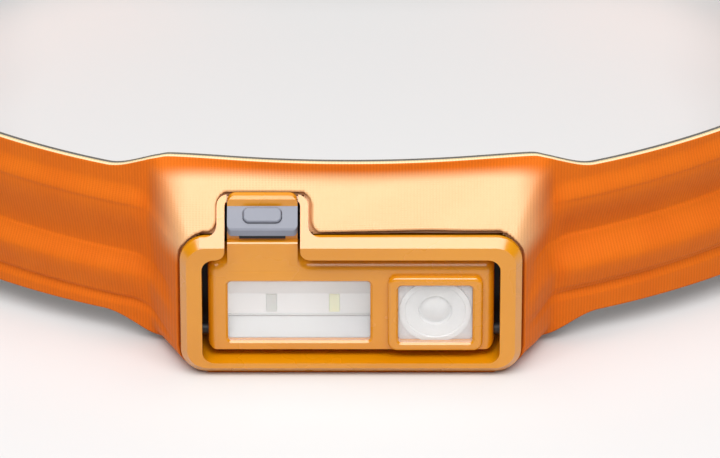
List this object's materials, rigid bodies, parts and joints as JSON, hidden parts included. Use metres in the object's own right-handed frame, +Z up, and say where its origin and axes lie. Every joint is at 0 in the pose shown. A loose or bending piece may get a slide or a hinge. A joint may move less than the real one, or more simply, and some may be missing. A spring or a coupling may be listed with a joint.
{
  "type": "headlamp",
  "caption": "Slim headlamp: a tilting lamp with flood and spot windows in a moulded frame, on a fabric headband with a rear battery pack.",
  "frame": {"origin": "centre of the bottom of the whole object's box, on the surface it stands on", "axes": "+X to the right of the lamp seen from its front, +Y from the lamp's face towards the back of the head, +Z up"},
  "size_m": [0.2028, 0.177, 0.0448],
  "materials": {
    "orange_fabric": "fine ribbed weave",
    "grey_lining": "soft knit",
    "orange_webbing": "elastic webbing",
    "orange_plastic": "satin moulded",
    "grey_plastic": "fine matt",
    "dark_plastic": "fine matt",
    "black_rubber": "matt",
    "clear_plastic": "polished clear",
    "bright_reflector": "vacuum plated",
    "white_plastic": "gloss",
    "led_phosphor": "soft gel",
    "led_clear": "soft gel",
    "board_green": "solder mask",
    "steel": "plain",
    "cell_film": "foil pouch",
    "grey_foam": "open foam under knit"
  },
  "bodies": {
    "band": {"front_shroud": "orange_fabric", "side_band_right": "orange_fabric", "side_band_left": "orange_fabric", "band_lining": "grey_lining", "elastic_strap_right": "orange_webbing", "elastic_strap_left": "orange_webbing", "power_lead": "black_rubber", "lead_grommet_front": "black_rubber", "lead_grommet_rear": "black_rubber", "lead_keepers": "dark_plastic", "front_frame": "orange_plastic", "frame_back_plate": "dark_plastic", "frame_screws": "steel", "hinge_bush_left": "dark_plastic", "hinge_bush_right": "dark_plastic", "detent_spring": "steel", "pack_outer_cover": "dark_plastic", "pack_inner_cover": "dark_plastic", "pack_gasket": "black_rubber", "pack_screws": "steel", "battery_cell": "cell_film", "charge_board": "board_green", "status_lights": "white_plastic", "port_shell": "steel", "port_tongue": "dark_plastic", "foam_pad": "grey_foam", "strap_bar_left": "steel", "strap_bar_right": "steel"},
    "lamp": {"lamp_housing": "orange_plastic", "lamp_back_cover": "dark_plastic", "lamp_cover_screws": "steel", "lamp_gasket": "black_rubber", "led_board": "board_green", "flood_window": "clear_plastic", "flood_reflector": "bright_reflector", "flood_led_left": "led_clear", "flood_led_right": "led_phosphor", "spot_window": "clear_plastic", "spot_optic": "clear_plastic", "spot_holder": "bright_reflector", "spot_led": "led_phosphor", "hinge_pin_left": "dark_plastic", "hinge_pin_right": "dark_plastic", "button_plate": "grey_plastic", "plate_seal": "black_rubber", "button_switch": "dark_plastic"},
    "button": {"button_cap": "grey_plastic"},
    "port_cover": {"port_cover": "black_rubber"},
    "slider_right": {"strap_slider_right": "dark_plastic"},
    "slider_left": {"strap_slider_left": "dark_plastic"}
  },
  "joints": [
    {"name": "lamp_tilt", "type": "hinge", "parent": "band", "child": "lamp", "pos_m": [0, -0.0828, 0.0084], "axis": [1, 0, 0], "range_deg": [0, 45]},
    {"name": "button_press", "type": "slide", "parent": "lamp", "child": "button", "axis": [0, 0.6347, -0.7727], "range_m": [0, 0.0007], "stiffness_N_per_m": 800},
    {"name": "port_cover_swing", "type": "hinge", "parent": "band", "child": "port_cover", "pos_m": [0.0218, 0.082, 0.04425], "axis": [0, 1, 0], "range_deg": [0, 110]},
    {"name": "slider_right_adjust", "type": "slide", "parent": "band", "child": "slider_right", "axis": [0, 1, 0], "range_m": [-0.012, 0.012]},
    {"name": "slider_left_adjust", "type": "slide", "parent": "band", "child": "slider_left", "axis": [0, 1, 0], "range_m": [-0.012, 0.012]}
  ]
}
